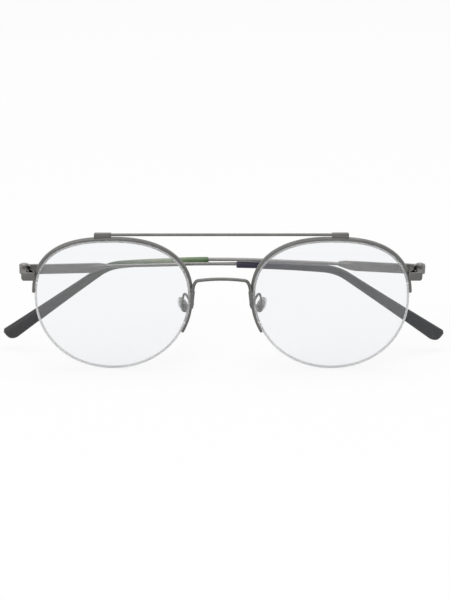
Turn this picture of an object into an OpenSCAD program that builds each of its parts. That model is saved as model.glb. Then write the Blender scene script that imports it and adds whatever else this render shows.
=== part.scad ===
// Half-rim eyeglasses with a double bridge, folded as they lie in a shop picture.
// X runs from side to side, the front looks towards -Y, +Y goes back to the wearer, +Z is up.
// The origin is midway between the two lenses, at the front of the lens surface.
// "Left" and "right" are the sides as seen from the front.

/* [Lenses] */
// Width of one lens
lens_width = 49.4; // [45:0.2:54]
// Height of one lens
lens_height = 42.1; // [37:0.1:46]
// Shortest distance between the two lenses
lens_gap = 19.8; // [17:0.2:22]
// Thickness of the lens
lens_thickness = 1.9; // [1.5:0.1:2.4]
// Radius of the bulged front surface
front_radius = 130; // [100:5:180]
// Width of the groove cut round the lens edge
edge_groove_width = 0.6; // [0.5:0.05:0.8]
// Depth of the groove cut round the lens edge
edge_groove_depth = 0.8; // [0.6:0.05:1]

/* [Rims] */
// Width of the rim seen from the front
rim_band = 0.82; // [0.7:0.02:1.1]
// How far the rim stands proud of the lens in front
rim_step = 0.1; // [0.05:0.01:0.2]
// Depth of the groove inside the rim
rim_groove = 0.45; // [0.3:0.05:0.6]
// Thickness of the nylon cord that holds the lower lens edge
cord_size = 0.5; // [0.4:0.05:0.55]

/* [Bridges] */
// Diameter of the straight upper bar
bar_diameter = 0.9; // [0.7:0.05:1.2]
// Gap between the rim top and the upper bar
bar_clearance = 0.45; // [0.3:0.05:1]
// Length of the block that holds the upper bar
block_length = 5.4; // [4:0.1:7]
// Height of the top of that block over the bar middle
block_rise = 0.6; // [0.55:0.05:0.9]
// Depth of that block
block_depth = 1.4; // [1.2:0.1:1.8]
// Diameter of the lower bridge wire
bridge_diameter = 1.05; // [0.9:0.05:1.3]
// Height of the lower bridge over the lens middle
bridge_height = 8.5; // [7:0.25:10]
// Gap between the rim front and the lower bridge wire
bridge_clearance = 0.15; // [0.1:0.05:0.3]
// Width of the sleeve that joins bridge and rim
ferrule_width = 1.65; // [1.5:0.05:2]
// Height of that sleeve
ferrule_height = 5.2; // [4.4:0.1:6]

/* [End pieces and hinges] */
// Height of the strip of the end piece
endpiece_height = 2.65; // [2.2:0.05:3]
// Height of the middle of the end piece over the lens middle
endpiece_middle = 9.3; // [8:0.1:11]
// Thickness of the strip
endpiece_thickness = 1.2; // [0.9:0.1:1.5]
// Distance from the outer lens edge out to the hinge pin
hinge_out = 3.65; // [3.4:0.05:4.2]
// Depth of the hinge pin behind the lens front
hinge_depth = 9.2; // [8.5:0.1:10.5]
// Radius of the hinge knuckles
knuckle_radius = 1.6; // [1.4:0.05:1.75]
// Height of the whole hinge barrel
barrel_height = 2.8; // [2.5:0.1:3.2]
// Diameter of the hinge screw shaft
screw_diameter = 1; // [0.8:0.05:1.2]

/* [Temples] */
// Length of a temple from the hinge pin to the end of the tip, along the temple
temple_length = 141.6; // [137:0.2:146]
// How far past the middle of the frame the plastic sleeve starts on a folded temple
sleeve_past_middle = 4.95; // [4:0.05:9]
// Length from the start of the downward bend to the end of the tip
tip_length = 45.4; // [41:0.2:50]
// Distance from the hinge pin to the end of the metal blade
blade_length = 26.2; // [23:0.1:30]
// Angle between the folded left temple and the lens plane; the right one lies behind it
fold_angle = 4.3; // [4.2:0.1:6]
// Height of the flat metal blade
blade_height = 3.1; // [2.6:0.1:3.6]
// Thickness of the flat metal blade
blade_thickness = 0.9; // [0.7:0.05:1.1]
// Diameter of the springy wire
wire_diameter = 1.1; // [0.9:0.05:1.1]
// Downward angle of the tip behind the ear
tip_drop_angle = 34.9; // [30:0.1:40]
// How far the right wire springs up over the left one
right_lift = 1.35; // [1.35:0.05:1.6]
// How far the left wire springs up under it
left_lift = 0.08; // [0:0.02:0.1]

/* [Nose pads] */
// Height of the clear pad
pad_height = 5.4; // [5:0.2:7]
// Width of the clear pad
pad_width = 5; // [4.6:0.2:6]
// Thickness of the clear pad
pad_thickness = 1.4; // [1.2:0.1:1.8]
// Angle between the pad and the side plane
pad_splay = 40; // [30:1:45]
// Diameter of the pad arm wire
arm_diameter = 0.8; // [0.6:0.05:1]

/* [Hidden] */
half_width = lens_width / 2;
half_height = lens_height / 2;
lens_x = lens_gap / 2 + half_width;
nose_edge_x = lens_gap / 2;
outer_edge_x = nose_edge_x + lens_width;
// Depth of the lens front at its two side edges and at its top.
edge_depth = front_radius - sqrt(pow(front_radius, 2) - pow(half_width, 2));
top_depth = front_radius - sqrt(pow(front_radius, 2) - pow(half_height, 2));
// Powers of the outline curve: each part of the lens edge uses one.
upper_outer_power = 2.51;
upper_inner_power = 2.29;
lower_outer_power = 2.1;
lower_inner_power = 2.06;
// Height of the widest level of the lens over its middle.
waist_height = 2.75;
outline_steps = 120;
sphere_sides = 240;
round_sides = 48;
wire_sides = 10;
prism_front = -lens_thickness;
prism_back = 4 * lens_thickness;

// The rim starts at the outer side, goes over the top and ends low at the nose side.
rim_start = 3;
rim_end = 208;
tuck_angle = 6;
liner_gap_angle = 1;
groove_front = (lens_thickness - edge_groove_width) / 2;
groove_back = groove_front + edge_groove_width;
cord_front = (lens_thickness - cord_size) / 2;
cord_back = cord_front + cord_size;
cord_outside = 0.05;
cord_seat = 0.05;
cord_inside = edge_groove_depth - cord_seat;

// The blocks sit on the rim top just outside the lens middle and are cut to seat there.
block_start = 0.15;
block_corner = 0.5;
block_sink = 0.7;
block_insert_share = 0.6;
bar_height = half_height + rim_band + bar_clearance + bar_diameter / 2;
bar_depth = top_depth + lens_thickness / 2 - rim_step;
block_drop = bar_diameter / 2 + bar_clearance + block_sink;

// The lower bridge: a shallow arch, two corners and two legs that lean outwards.
arch_rise = 0.45;
leg_x = nose_edge_x - 0.6;
leg_top_x = nose_edge_x - 0.9;
leg_top_z = bridge_height - 3.1;
corner_x = nose_edge_x - 1.85;
bridge_depth = edge_depth - rim_step - bridge_clearance - bridge_diameter / 2;
ferrule_inner_x = nose_edge_x - 1.45;
ferrule_top = bridge_height - 4.3;
ferrule_bottom = ferrule_top - ferrule_height;
ferrule_wall = 0.2;
ferrule_front = bridge_depth - bridge_diameter / 2 - ferrule_wall;
ferrule_back = edge_depth + lens_thickness - 0.6;
ferrule_lean = 0.5;
ferrule_corner = 0.5;
leg_bottom_z = ferrule_bottom + 0.9;
bridge_steps = 12;

// The end piece is a strip bent back from the rim to the hinge.
endpiece_proud = 0.95;
endpiece_overlap = 0.3;
endpiece_reach = 4.1;
endpiece_front = edge_depth - endpiece_proud;
endpiece_bottom = endpiece_middle - endpiece_height / 2;
endpiece_inner_x = outer_edge_x - endpiece_overlap;
endpiece_outer_x = outer_edge_x + endpiece_reach;
plan_corner = 0.9;
low_corner = 0.9;
leg_width = 1.7;

// The hinge: pin place, knuckle heights and running gaps.
hinge_x = outer_edge_x + hinge_out;
barrel_rise = 0.55;
hinge_bottom = endpiece_middle + barrel_rise - barrel_height / 2;
hinge_gap = 0.05;
pin_clearance = 0.05;
knuckle_gap = 0.15;
knuckle_height = (barrel_height - 2 * hinge_gap) / 3;
foot_half = 0.8;
// The leaf of the front hinge lies beside the leg of the end piece and ends in the outer knuckles.
leaf_reach = 2;
leaf_thickness = 0.55;
head_diameter = 2;
head_height = 0.3;
driver_slot_width = 0.3;
driver_slot_depth = 0.15;

// Temple sizes are measured along the temple from the hinge pin, and outwards from it.
temple_rise = -0.375;
temple_middle = endpiece_middle + temple_rise;
butt_length = 1.6;
plate_gap = 0.2;
plate_thickness = 0.25;
plate_back = 0.9;
plate_length = 4.1;
plate_height = 2.6;
blade_face = knuckle_radius + plate_gap + plate_thickness;
wire_depth = blade_face + blade_thickness / 2;
blade_top_end = blade_length - 2.2;
blade_low_end = blade_length - 4.6;
blade_tip_height = 1.4;
blade_corner = 0.5;
// The wire leaves the blade over its middle, and the sleeve hangs a little under the wire.
wire_rise = 0.49;
sleeve_drop = 0.25;
socket_length = 5.2;
socket_wall = 0.2;
wire_insert = 4.2;
wire_start = blade_length - wire_insert;
wire_end_margin = 12;
wire_end = temple_length - wire_end_margin;

leg_back = hinge_depth - knuckle_radius - knuckle_gap;
fold_difference = 0.7;
right_fold = fold_angle + fold_difference;

// The sleeve runs straight, droops a little, bends down and ends rounded.
sleeve_start = hinge_x + sleeve_past_middle;
sleeve_length = temple_length - sleeve_start;
droop_end = temple_length - tip_length;
droop_before_middle = 12.4;
droop_start = hinge_x - droop_before_middle;
bend_length = 8.2;
bend_end = droop_end + bend_length;
droop_angle = 5.3;
wire_steps = 62;
sleeve_steps = 44;
nose_steps = 4;
round_steps = 8;
sleeve_sides = 16;
sleeve_section_power = 2.6;
sleeve_nose = 0.4;
sleeve_nose_share = 0.86;
sleeve_start_height = 2.1;
sleeve_tip_height = 4.9;
sleeve_growth_power = 2.15;
sleeve_start_thickness = 1.7;
sleeve_tip_thickness = 2.3;
// The end is blunt: a small curve above, a long one below.
low_round = 3.2;
top_round = 0.8;
top_last_share = 0.75;
side_round = 1;
side_last_share = 0.4;

// Pad parts, placed from the pad screw.
pad_pivot = [nose_edge_x + 1.95, edge_depth + lens_thickness + 4.7, -2.8];
pad_lean = 12;
pad_shift_width = 2.7;
pad_shift_down = 0.2;
pad_face_gap = 0.45;
pad_bulge_radius = 9;
pad_steps = 40;
core_height = 3.6;
core_width = 2.6;
core_thickness = 0.4;
tab_thickness = 0.4;
tab_radius = 0.65;
tab_half_height = 0.5;
pad_screw_radius = 0.3;
pad_screw_head_radius = 0.45;
pad_screw_head_height = 0.25;
box_clearance = 0.2;
box_front = 0.2;
box_inside = tab_radius + box_clearance;
box_wall = 0.3;
cheek_clearance = 0.05;
cheek_wall = 0.4;
cheek_inside = tab_thickness / 2 + cheek_clearance;
cheek_outside = cheek_inside + cheek_wall;
box_half_height = 1.1;

// The pad arm leaves the back of the rim, loops up and comes down on the box.
arm_sink = 0.25;
arm_root = [nose_edge_x - 0.05, edge_depth + lens_thickness - arm_sink, -1.6];
arm_out = arm_root + [1.4, 4.2, 3.4];
arm_over = pad_pivot + [0.6, -0.9, 7.4];
arm_steps = 20;

// Lens outline

// Power of the outline at an angle; 0 points outwards from the nose, 90 points up.
function edge_power(t) = sin(t) > 0
    ? (cos(t) > 0 ? upper_outer_power : upper_inner_power)
    : (cos(t) > 0 ? lower_outer_power : lower_inner_power);

// Distance from the middle of the widest level to the outline, grown outwards by a length.
function edge_radius(t, grow) =
    let (p = edge_power(t), h = half_height + (sin(t) > 0 ? -waist_height : waist_height),
        c = abs(cos(t)) / (half_width + grow), s = abs(sin(t)) / (h + grow))
    pow(pow(c, p) + pow(s, p), -1 / p);

// Corner points of the outline; all pieces share them, so that they seat without gap or overlap.
function edge_corner(i, grow) =
    let (t = 360 * i / outline_steps) [0, waist_height] + edge_radius(t, grow) * [cos(t), sin(t)];

// A point on the straight line between two corners.
function edge_point(t, grow) =
    let (k = t * outline_steps / 360, i = floor(k))
    (i + 1 - k) * edge_corner(i, grow) + (k - i) * edge_corner(i + 1, grow);

function edge_arc(grow, from, to) =
    let (a = from * outline_steps / 360, b = to * outline_steps / 360)
    concat([edge_point(from, grow)],
        [for (i = [floor(a) + 1:ceil(b) - 1]) edge_corner(i, grow)],
        [edge_point(to, grow)]);

function outline(grow) = [for (i = [0:outline_steps - 1]) edge_corner(i, grow)];

function backwards(list) = [for (i = [1:len(list)]) list[len(list) - i]];

// A band along the outline between two angles.
module band(inner, outer, from, to) {
    polygon(concat(edge_arc(outer, from, to), backwards(edge_arc(inner, from, to))));
}

// Stands a flat outline upright at the place of the right lens.
module upright() {
    translate([lens_x, prism_back, 0]) rotate([90, 0, 0]) linear_extrude(prism_back - prism_front) children();
}

// The bulged slab between two depths behind the lens front.
module slab(front, back) {
    translate([lens_x, front_radius, 0]) difference() {
        sphere(r = front_radius - front, $fn = sphere_sides);
        sphere(r = front_radius - back, $fn = sphere_sides);
    }
}

// The right rim as a full bar without its groove; also used to seat other pieces on it.
module rim_bar() {
    intersection() {
        upright() {
            band(0, rim_band, rim_start, rim_end);
            for (t = [rim_start, rim_end]) translate(edge_point(t, rim_band / 2))
                circle(d = rim_band, $fn = round_sides);
        }
        slab(-rim_step, lens_thickness);
    }
}

module rim() {
    difference() {
        rim_bar();
        intersection() {
            upright() band(-rim_groove, rim_groove, rim_start - tuck_angle, rim_end + tuck_angle);
            slab(groove_front, groove_back);
        }
    }
}

module rim_liner() {
    intersection() {
        upright() band(-edge_groove_depth, rim_groove,
            rim_start + tuck_angle + liner_gap_angle, rim_end - tuck_angle - liner_gap_angle);
        slab(groove_front, groove_back);
    }
}

module nylon_cord() {
    intersection() {
        upright() band(-cord_inside, cord_outside, rim_end - tuck_angle, rim_start + tuck_angle + 360);
        slab(cord_front, cord_back);
    }
}

module lens_blank() {
    intersection() {
        upright() polygon(outline(0));
        slab(0, lens_thickness);
    }
}

module lens() {
    difference() {
        lens_blank();
        intersection() {
            upright() difference() {
                polygon(outline(rim_band));
                polygon(outline(-edge_groove_depth));
            }
            slab(groove_front, groove_back);
        }
    }
}

// Swept bars

// Joins rings of points into one closed body; every ring has the same number of points.
module skin(rings) {
    n = len(rings[0]);
    m = len(rings);
    points = [for (r = rings) each r];
    sides = [for (i = [0:m - 2], k = [0:n - 1])
        let (a = i * n + k, b = i * n + (k + 1) % n)
        each [[a, b, b + n], [a, b + n, a + n]]];
    caps = [[for (k = [0:n - 1]) n - 1 - k], [for (k = [0:n - 1]) (m - 1) * n + k]];
    polyhedron(points, concat(sides, caps));
}

function unit(v) = v / norm(v);

// A round ring of points across a direction.
function ring(middle, direction, up, radius, count) =
    let (d = unit(direction), a = unit(cross(d, up)), b = cross(a, d))
    [for (k = [0:count - 1]) middle + radius * (cos(360 * k / count) * a + sin(360 * k / count) * b)];

// A round wire along a list of points.
module wire(path, up, radius, count) {
    m = len(path) - 1;
    skin([for (i = [0:m]) ring(path[i], path[min(i + 1, m)] - path[max(i - 1, 0)], up, radius, count)]);
}

// Bridges

module top_bar() {
    reach = lens_x + block_start + block_length * block_insert_share;
    color("dimgray") translate([-reach, bar_depth, bar_height]) rotate([0, 90, 0])
        cylinder(d = bar_diameter, h = 2 * reach, $fn = round_sides);
}

module block_face() {
    difference() {
        square([block_length, block_drop + block_rise]);
        translate([block_length - block_corner, block_drop + block_rise - block_corner]) difference() {
            square(block_corner);
            circle(r = block_corner, $fn = round_sides);
        }
    }
}

module bar_block() {
    difference() {
        translate([lens_x + block_start, bar_depth + block_depth / 2, bar_height - block_drop])
            rotate([90, 0, 0]) linear_extrude(block_depth) block_face();
        upright() polygon(outline(rim_band));
        top_bar();
    }
}

// Right half of the lower bridge path, from the middle to the end of the leg.
function corner_point(k) =
    let (a = [corner_x - bridge_diameter, bridge_height - arch_rise], b = [corner_x + bridge_diameter / 2,
        bridge_height - arch_rise], c = [leg_top_x, leg_top_z])
    pow(1 - k, 2) * a + 2 * k * (1 - k) * b + k * k * c;

function bridge_half() = concat(
    [for (i = [0:bridge_steps - 1]) let (x = (corner_x - bridge_diameter) * i / bridge_steps)
        [x, bridge_height - arch_rise * pow(x / (corner_x - bridge_diameter), 2)]],
    [for (i = [0:bridge_steps]) corner_point(i / bridge_steps)],
    [[leg_x, ferrule_top], [leg_x, leg_bottom_z]]);

module bridge_wire() {
    half = bridge_half();
    n = len(half) - 1;
    path = concat([for (i = [0:n - 1]) [-half[n - i].x, bridge_depth, half[n - i].y]],
        [for (p = half) [p.x, bridge_depth, p.y]]);
    wire(path, [0, 1, 0], bridge_diameter / 2, wire_sides);
}

module bridge() {
    color("dimgray") bridge_wire();
}

module bridge_ferrule() {
    difference() {
        translate([ferrule_inner_x, ferrule_back, ferrule_bottom]) rotate([90, 0, 0])
            linear_extrude(ferrule_back - ferrule_front)
                polygon([[0, ferrule_height], [ferrule_lean, ferrule_corner],
                    [ferrule_lean + ferrule_corner, 0], [ferrule_width + ferrule_lean, 0],
                    [ferrule_width, ferrule_height]]);
        upright() polygon(outline(0));
        rim_bar();
        bridge_wire();
    }
}

// End pieces and hinges

module endpiece_plan() {
    y0 = endpiece_front;
    x1 = endpiece_outer_x;
    difference() {
        union() {
            translate([endpiece_inner_x, y0]) square([x1 - endpiece_inner_x, endpiece_thickness]);
            translate([x1 - leg_width, y0]) square([leg_width, leg_back - y0]);
        }
        translate([x1 - plan_corner, y0]) difference() {
            translate([0, -plan_corner]) square(2 * plan_corner);
            translate([0, plan_corner]) circle(r = plan_corner, $fn = round_sides);
            translate([0, plan_corner]) square(2 * plan_corner);
        }
    }
}

module endpiece() {
    difference() {
        translate([0, 0, endpiece_bottom]) linear_extrude(endpiece_height) endpiece_plan();
        // The low outer corner of the front is rounded.
        translate([endpiece_outer_x - low_corner, endpiece_thickness + endpiece_front, endpiece_bottom])
            rotate([90, 0, 0]) linear_extrude(2 * endpiece_thickness) difference() {
                translate([0, -low_corner]) square(2 * low_corner);
                translate([0, low_corner]) circle(r = low_corner, $fn = round_sides);
                translate([0, low_corner]) square(2 * low_corner);
            }
        rim_bar();
    }
}

// One knuckle of the right hinge, standing on a given height.
module knuckle(bottom, bore) {
    translate([0, 0, bottom]) difference() {
        union() {
            cylinder(r = knuckle_radius, h = knuckle_height, $fn = round_sides);
            children();
        }
        translate([0, 0, -hinge_gap])
            cylinder(d = bore, h = knuckle_height + 2 * hinge_gap, $fn = round_sides);
    }
}

module front_hinge() {
    leaf_front = endpiece_front + endpiece_thickness;
    translate([hinge_x, hinge_depth, 0])
        for (bottom = [hinge_bottom, hinge_bottom + 2 * (knuckle_height + hinge_gap)])
            knuckle(bottom, screw_diameter) {
                translate([-foot_half, leg_back - hinge_depth, 0])
                    cube([2 * foot_half, hinge_depth - leg_back, knuckle_height]);
                translate([-leaf_reach, leaf_front - hinge_depth, 0])
                    cube([leaf_thickness, hinge_depth - leaf_front, knuckle_height]);
            }
    translate([hinge_x - leaf_reach, leaf_front, hinge_bottom])
        cube([leaf_thickness, leg_back - leaf_front, barrel_height]);
}

module hinge_screw() {
    translate([hinge_x, hinge_depth, hinge_bottom]) difference() {
        union() {
            cylinder(d = screw_diameter, h = barrel_height, $fn = round_sides);
            translate([0, 0, barrel_height]) cylinder(d = head_diameter, h = head_height, $fn = round_sides);
        }
        translate([-head_diameter, -driver_slot_width / 2, barrel_height + head_height - driver_slot_depth])
            cube([2 * head_diameter, driver_slot_width, driver_slot_depth * 2]);
    }
}

// Temples

// Places temple pieces: along X from the hinge pin, away from the lens along Y.
module at_hinge(fold) {
    translate([hinge_x, hinge_depth, 0]) mirror([1, 0, 0]) rotate([0, 0, fold]) children();
}

bend_radius = (bend_end - droop_end) / ((tip_drop_angle - droop_angle) * PI / 180);
droop_radius = (droop_end - droop_start) / (droop_angle * PI / 180);

// Downward angle of the temple at a distance along it.
function slope(s) = s < droop_start ? 0
    : s < droop_end ? droop_angle * (s - droop_start) / (droop_end - droop_start)
    : s < bend_end ? droop_angle + (tip_drop_angle - droop_angle) * (s - droop_end) / (bend_end - droop_end)
    : tip_drop_angle;

function arc_move(radius, from, to) = radius * [sin(to) - sin(from), cos(to) - cos(from)];

// Middle line of the temple, as distance from the hinge and height.
function temple_line(s) =
    [min(s, droop_start), 0]
    + (s > droop_start ? arc_move(droop_radius, 0, slope(min(s, droop_end))) : [0, 0])
    + (s > droop_end ? arc_move(bend_radius, droop_angle, slope(min(s, bend_end))) : [0, 0])
    + (s > bend_end ? (s - bend_end) * [cos(tip_drop_angle), -sin(tip_drop_angle)] : [0, 0]);

function temple_point(s, lift) =
    let (p = temple_line(s))
    [p.x, wire_depth, temple_middle + wire_rise + p.y + lift * sin(180 * s / temple_length)];

function lift_slope(s, lift) = atan(lift * PI / temple_length * cos(180 * s / temple_length));

module core_wire(lift) {
    wire([for (i = [0:wire_steps]) temple_point(wire_start + (wire_end - wire_start) * i / wire_steps, lift)],
        [0, 1, 0], wire_diameter / 2, wire_sides);
}

module temple_wire(fold, lift) {
    at_hinge(fold) core_wire(lift);
}

// Sizes of the plastic sleeve at a distance along the temple.
function blend(a, b, k) = a + (b - a) * min(max(k, 0), 1);
function sleeve_share(s) = (s - sleeve_start) / sleeve_length;
function sleeve_height(s) =
    blend(sleeve_start_height, sleeve_tip_height, pow(sleeve_share(s), sleeve_growth_power));
function sleeve_thickness(s) = blend(sleeve_start_thickness, sleeve_tip_thickness, sleeve_share(s));
// The ends are rounded off: less and less of a section is left over the last length.
function nose_share(s) =
    s < sleeve_start + sleeve_nose ? blend(sleeve_nose_share, 1, sqrt((s - sleeve_start) / sleeve_nose)) : 1;
function end_share(s, length, last) =
    let (k = max(s - temple_length + length, 0) / length) max(sqrt(max(1 - k * k, 0)), last);

function sleeve_station(i) =
    i < nose_steps ? sleeve_start + sleeve_nose * i / nose_steps
    : i > sleeve_steps - round_steps
        ? temple_length - low_round * (1 - sin(90 * (i - sleeve_steps + round_steps) / round_steps))
    : sleeve_start + sleeve_nose + (sleeve_length - low_round - sleeve_nose)
        * (i - nose_steps) / (sleeve_steps - nose_steps - round_steps);

function sleeve_ring(s, lift) =
    let (a = slope(s) - lift_slope(s, lift), c = temple_point(s, lift), e = nose_share(s),
        h = sleeve_height(s) * e / 2, top = h * end_share(s, top_round, top_last_share),
        low = -h * end_share(s, low_round, 0), middle = (top + low) / 2 - sleeve_drop,
        half = (top - low) / 2, q = 2 / sleeve_section_power,
        t = sleeve_thickness(s) * e * end_share(s, side_round, side_last_share) / 2)
    [for (k = [0:sleeve_sides - 1])
        let (w = 360 * k / sleeve_sides, y = sign(cos(w)) * pow(abs(cos(w)), q) * t,
            z = middle + sign(sin(w)) * pow(abs(sin(w)), q) * half)
        c + [z * sin(a), y, z * cos(a)]];

module temple_tip(fold, lift) {
    at_hinge(fold) difference() {
        skin([for (i = [0:sleeve_steps]) sleeve_ring(sleeve_station(i), lift)]);
        core_wire(lift);
    }
}

module blade_face_outline() {
    h = blade_height / 2;
    difference() {
        polygon([[-butt_length, -h], [blade_low_end, -h], [blade_length, wire_rise - blade_tip_height / 2],
            [blade_length, wire_rise + blade_tip_height / 2], [blade_top_end, h], [-butt_length, h]]);
        for (side = [-1, 1]) translate([-butt_length, side * h]) difference() {
            square(2 * blade_corner, center = true);
            translate([blade_corner, -side * blade_corner]) circle(r = blade_corner, $fn = round_sides);
            translate([blade_corner, -h]) square([2 * h, 2 * h]);
            translate([-h, -side * (h + blade_corner) - h]) square([2 * h, 2 * h]);
        }
    }
}

module temple_blade(fold, lift) {
    at_hinge(fold) difference() {
        translate([0, 0, temple_middle]) rotate([0, -lift_slope(0, lift), 0]) {
            translate([0, blade_face + blade_thickness, 0]) rotate([90, 0, 0])
                linear_extrude(blade_thickness) blade_face_outline();
            translate([blade_length - socket_length, wire_depth, wire_rise]) rotate([0, 90, 0])
                cylinder(d = wire_diameter + 2 * socket_wall, h = socket_length, $fn = round_sides);
        }
        core_wire(lift);
    }
}

module temple_hinge(fold) {
    at_hinge(fold) {
        knuckle(hinge_bottom + knuckle_height + hinge_gap, screw_diameter + 2 * pin_clearance)
            translate([-foot_half, 0, 0]) cube([2 * foot_half, blade_face - plate_thickness, knuckle_height]);
        translate([-plate_back, blade_face - plate_thickness, temple_middle - plate_height / 2])
            cube([plate_length, plate_thickness, plate_height]);
    }
}

// Nose pads

// Places pad pieces round the pad screw: X points away from the nose, Y along the pad width.
module at_pad() {
    translate(pad_pivot) rotate([0, 0, -pad_splay]) rotate([0, pad_lean, 0]) children();
}

function pad_place(v) =
    let (x = v.x * cos(pad_lean) + v.z * sin(pad_lean), z = -v.x * sin(pad_lean) + v.z * cos(pad_lean))
    pad_pivot + [x * cos(pad_splay) + v.y * sin(pad_splay), v.y * cos(pad_splay) - x * sin(pad_splay), z];

arm_end = pad_place([box_inside + box_wall / 2, 0, box_half_height]);

function curve_point(k) = pow(1 - k, 3) * arm_root + 3 * k * pow(1 - k, 2) * arm_out
    + 3 * k * k * (1 - k) * arm_over + pow(k, 3) * arm_end;

module pad_arm() {
    difference() {
        wire([for (i = [0:arm_steps]) curve_point(i / arm_steps)], [1, 0, 1], arm_diameter / 2, wire_sides);
        rim_bar();
        lens_blank();
        at_pad() box_blank();
    }
}

module box_blank() {
    translate([-box_front, -cheek_outside, -box_half_height])
        cube([box_front + box_inside + box_wall, 2 * cheek_outside, 2 * box_half_height]);
}

module pad_box() {
    at_pad() difference() {
        box_blank();
        translate([-2 * box_front, -cheek_inside, -2 * box_half_height])
            cube([2 * box_front + box_inside, 2 * cheek_inside, 4 * box_half_height]);
        rotate([90, 0, 0])
            cylinder(r = pad_screw_radius, h = 4 * cheek_outside, center = true, $fn = round_sides);
    }
}

module pad_screw() {
    at_pad() rotate([90, 0, 0]) {
        translate([0, 0, -cheek_outside])
            cylinder(r = pad_screw_radius, h = 2 * cheek_outside, $fn = round_sides);
        translate([0, 0, cheek_outside])
            cylinder(r = pad_screw_head_radius, h = pad_screw_head_height, $fn = round_sides);
    }
}

function oval(w, h) = [for (k = [0:pad_steps - 1])
    [h / 2 * cos(360 * k / pad_steps), w / 2 * sin(360 * k / pad_steps)]];

core_middle = -pad_face_gap - pad_thickness / 2;

module core_plate() {
    translate([core_middle - core_thickness / 2, pad_shift_width, -pad_shift_down]) rotate([0, 90, 0])
        linear_extrude(core_thickness) polygon(oval(core_width, core_height));
    translate([core_middle, -tab_thickness / 2, -tab_half_height])
        cube([-core_middle, tab_thickness, 2 * tab_half_height]);
    translate([core_middle - core_thickness / 2, -tab_thickness / 2, -tab_half_height])
        cube([core_thickness, pad_shift_width, 2 * tab_half_height]);
}

module pad_core() {
    at_pad() difference() {
        union() {
            core_plate();
            rotate([90, 0, 0]) cylinder(r = tab_radius, h = tab_thickness, center = true, $fn = round_sides);
        }
        rotate([90, 0, 0])
            cylinder(r = pad_screw_radius + pin_clearance, h = 2 * tab_thickness, center = true,
                $fn = round_sides);
    }
}

module nose_pad() {
    at_pad() difference() {
        intersection() {
            translate([-pad_face_gap - pad_thickness, pad_shift_width, -pad_shift_down]) rotate([0, 90, 0])
                linear_extrude(pad_thickness) polygon(oval(pad_width, pad_height));
            translate([-pad_face_gap - pad_thickness + pad_bulge_radius, pad_shift_width, -pad_shift_down])
                sphere(r = pad_bulge_radius, $fn = sphere_sides);
            translate([-pad_face_gap - pad_bulge_radius, pad_shift_width, -pad_shift_down])
                sphere(r = pad_bulge_radius, $fn = sphere_sides);
        }
        core_plate();
    }
}

// Pieces by side

module left() { mirror([1, 0, 0]) children(); }

module rim_left() { color("dimgray") left() rim(); }
module rim_right() { color("dimgray") rim(); }
module rim_liner_left() { color("white") left() rim_liner(); }
module rim_liner_right() { color("white") rim_liner(); }
module nylon_cord_left() { color("white") left() nylon_cord(); }
module nylon_cord_right() { color("white") nylon_cord(); }
module lens_left() { color("lightcyan") left() lens(); }
module lens_right() { color("lightcyan") lens(); }
module bar_block_left() { color("gray") left() bar_block(); }
module bar_block_right() { color("gray") bar_block(); }
module bridge_ferrule_left() { color("gray") left() bridge_ferrule(); }
module bridge_ferrule_right() { color("gray") bridge_ferrule(); }
module pad_arm_left() { color("silver") left() pad_arm(); }
module pad_arm_right() { color("silver") pad_arm(); }
module pad_box_left() { color("silver") left() pad_box(); }
module pad_box_right() { color("silver") pad_box(); }
module pad_screw_left() { color("gold") left() pad_screw(); }
module pad_screw_right() { color("gold") pad_screw(); }
module pad_core_left() { color("gray") left() pad_core(); }
module pad_core_right() { color("gray") pad_core(); }
module nose_pad_left() { color("aliceblue") left() nose_pad(); }
module nose_pad_right() { color("aliceblue") nose_pad(); }
module endpiece_left() { color("dimgray") left() endpiece(); }
module endpiece_right() { color("dimgray") endpiece(); }
module front_hinge_left() { color("gray") left() front_hinge(); }
module front_hinge_right() { color("gray") front_hinge(); }
module hinge_screw_left() { color("silver") left() hinge_screw(); }
module hinge_screw_right() { color("silver") hinge_screw(); }
module temple_blade_left() { color("darkgray") left() temple_blade(fold_angle, left_lift); }
module temple_blade_right() { color("darkgray") temple_blade(right_fold, right_lift); }
module temple_hinge_left() { color("gray") left() temple_hinge(fold_angle); }
module temple_hinge_right() { color("gray") temple_hinge(right_fold); }
module temple_wire_left() { color("silver") left() temple_wire(fold_angle, left_lift); }
module temple_wire_right() { color("silver") temple_wire(right_fold, right_lift); }
module temple_tip_left() { color("darkslateblue") left() temple_tip(fold_angle, left_lift); }
module temple_tip_right() { color("darkseagreen") temple_tip(right_fold, right_lift); }

rim_left();
rim_right();
rim_liner_left();
rim_liner_right();
nylon_cord_left();
nylon_cord_right();
lens_left();
lens_right();
top_bar();
bar_block_left();
bar_block_right();
bridge();
bridge_ferrule_left();
bridge_ferrule_right();
pad_arm_left();
pad_arm_right();
pad_box_left();
pad_box_right();
pad_screw_left();
pad_screw_right();
pad_core_left();
pad_core_right();
nose_pad_left();
nose_pad_right();
endpiece_left();
endpiece_right();
front_hinge_left();
front_hinge_right();
hinge_screw_left();
hinge_screw_right();
temple_blade_left();
temple_blade_right();
temple_hinge_left();
temple_hinge_right();
temple_wire_left();
temple_wire_right();
temple_tip_left();
temple_tip_right();
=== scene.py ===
# %% [markdown]
# # Folded half-rim eyeglasses
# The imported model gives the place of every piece. This script dresses it: each piece that shows is
# modelled again with round edges and smooth curves, and gets a finish. Everything is worked out in
# millimetres and made metres at the end, because the real parts are a millimetre or so thick.

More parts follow.
